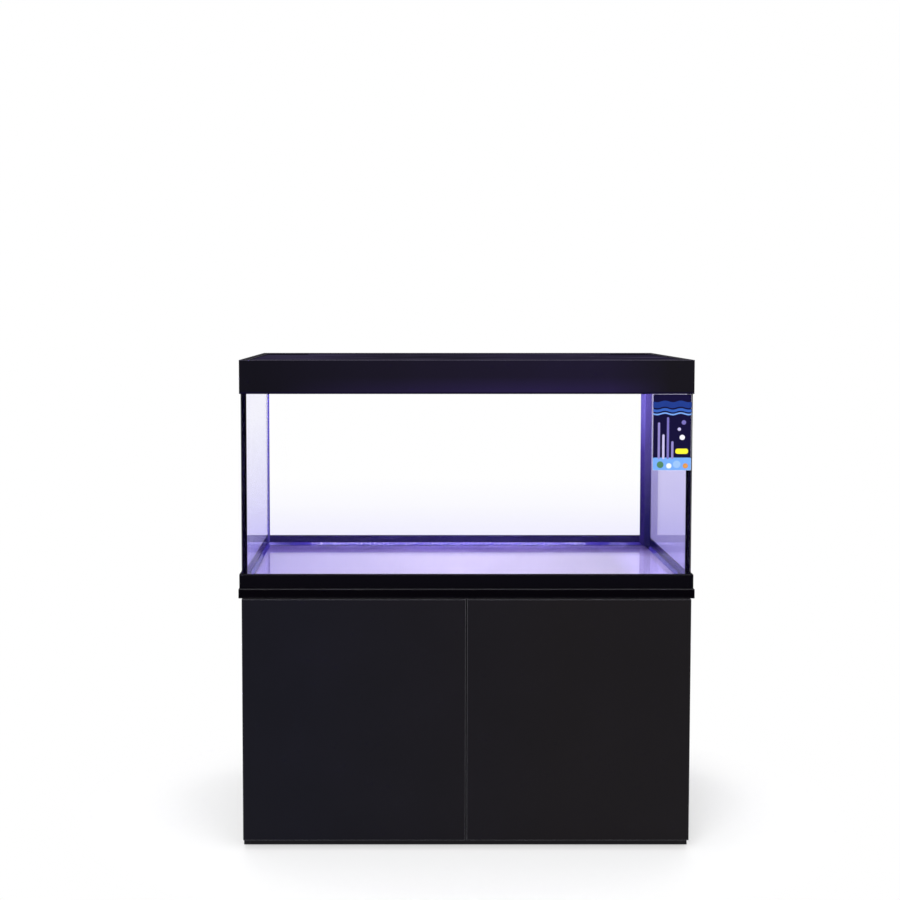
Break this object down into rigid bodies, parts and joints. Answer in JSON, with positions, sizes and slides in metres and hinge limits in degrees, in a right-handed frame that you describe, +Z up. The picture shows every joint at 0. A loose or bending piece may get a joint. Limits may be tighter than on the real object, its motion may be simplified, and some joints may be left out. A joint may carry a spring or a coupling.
{
  "type": "aquarium on stand",
  "caption": "Rectangular glass aquarium with a black lift-lid hood and lamp, standing on a matching black cabinet with push-to-open doors and a shelf.",
  "frame": {"origin": "on the floor under the middle of the cabinet", "axes": "+X to the viewer's right facing the doors, +Y to the back, +Z up"},
  "size_m": [1.214, 0.424, 1.32],
  "materials": {
    "float_glass": "clear polished float glass",
    "black_silicone": "black aquarium silicone, satin",
    "trim_plastic": "black extruded plastic, satin",
    "eva_foam": "closed-cell foam",
    "hood_plastic": "black moulded plastic, semi-gloss",
    "bright_steel": "nickel-plated pressed steel",
    "lamp_aluminium": "dark anodised extrusion",
    "lamp_lens": "clear acrylic lens",
    "led_board": "white solder mask",
    "lamp_plastic": "black moulded plastic",
    "top_laminate": "black melamine on particle board, satin",
    "carcass_laminate": "black high-gloss laminate on particle board",
    "door_laminate": "black high-gloss laminate on particle board",
    "beech": "fluted beech",
    "zinc": "die-cast zinc",
    "glide_plastic": "black polyethylene",
    "white_plastic": "white moulded plastic",
    "spring_steel": "spring wire"
  },
  "bodies": {
    "cabinet_and_tank": {"bottom_glass": "float_glass", "front_glass": "float_glass", "rear_glass": "float_glass", "left_glass": "float_glass", "right_glass": "float_glass", "silicone_seams": "black_silicone", "front_brace": "float_glass", "rear_brace": "float_glass", "base_trim": "trim_plastic", "foam_mat": "eva_foam", "cable_channel": "trim_plastic", "hood_frame": "hood_plastic", "lid_frame": "hood_plastic", "hood_seat": "hood_plastic", "hood_gussets": "hood_plastic", "rear_deck": "hood_plastic", "lid_hinge_pins": "bright_steel", "light_housing": "lamp_aluminium", "light_lens": "lamp_lens", "light_board": "led_board", "light_end_caps": "lamp_plastic", "light_brackets": "lamp_plastic", "cabinet_top": "top_laminate", "left_side": "carcass_laminate", "right_side": "carcass_laminate", "divider": "carcass_laminate", "floor_board": "carcass_laminate", "left_back": "carcass_laminate", "right_back": "carcass_laminate", "shelf": "carcass_laminate", "shelf_pins": "bright_steel", "dowels": "beech", "cam_locks": "zinc", "cam_bolts": "zinc", "floor_glides": "glide_plastic", "left_hinge_arms": "bright_steel", "right_hinge_arms": "bright_steel", "hinge_plates": "bright_steel", "left_latch": "white_plastic", "right_latch": "white_plastic", "latch_springs": "spring_steel"},
    "left_door": {"left_door": "door_laminate", "left_hinge_cups": "bright_steel", "left_hinge_pins": "bright_steel", "left_strike": "white_plastic"},
    "right_door": {"right_door": "door_laminate", "right_hinge_cups": "bright_steel", "right_hinge_pins": "bright_steel", "right_strike": "white_plastic"},
    "left_plunger": {"left_plunger": "white_plastic"},
    "right_plunger": {"right_plunger": "white_plastic"},
    "front_lid": {"front_lid": "hood_plastic"}
  },
  "joints": [
    {"name": "left_door_hinge", "type": "hinge", "parent": "cabinet_and_tank", "child": "left_door", "pos_m": [-0.592, -0.204, 0.351], "axis": [0, 0, -1], "range_deg": [0, 95]},
    {"name": "right_door_hinge", "type": "hinge", "parent": "cabinet_and_tank", "child": "right_door", "pos_m": [0.592, -0.204, 0.351], "axis": [0, 0, 1], "range_deg": [0, 95]},
    {"name": "left_latch_slide", "type": "slide", "parent": "cabinet_and_tank", "child": "left_plunger", "axis": [0, -1, 0], "range_m": [0, 0.015]},
    {"name": "right_latch_slide", "type": "slide", "parent": "cabinet_and_tank", "child": "right_plunger", "axis": [0, -1, 0], "range_m": [0, 0.015]},
    {"name": "front_lid_hinge", "type": "hinge", "parent": "cabinet_and_tank", "child": "front_lid", "pos_m": [0, 0, 1.3165], "axis": [-1, 0, 0], "range_deg": [0, 100]}
  ],
  "couplings": [
    {"joint": "left_latch_slide", "follows": "left_door_hinge", "m_per_rad": 0.009},
    {"joint": "right_latch_slide", "follows": "right_door_hinge", "m_per_rad": 0.009}
  ]
}
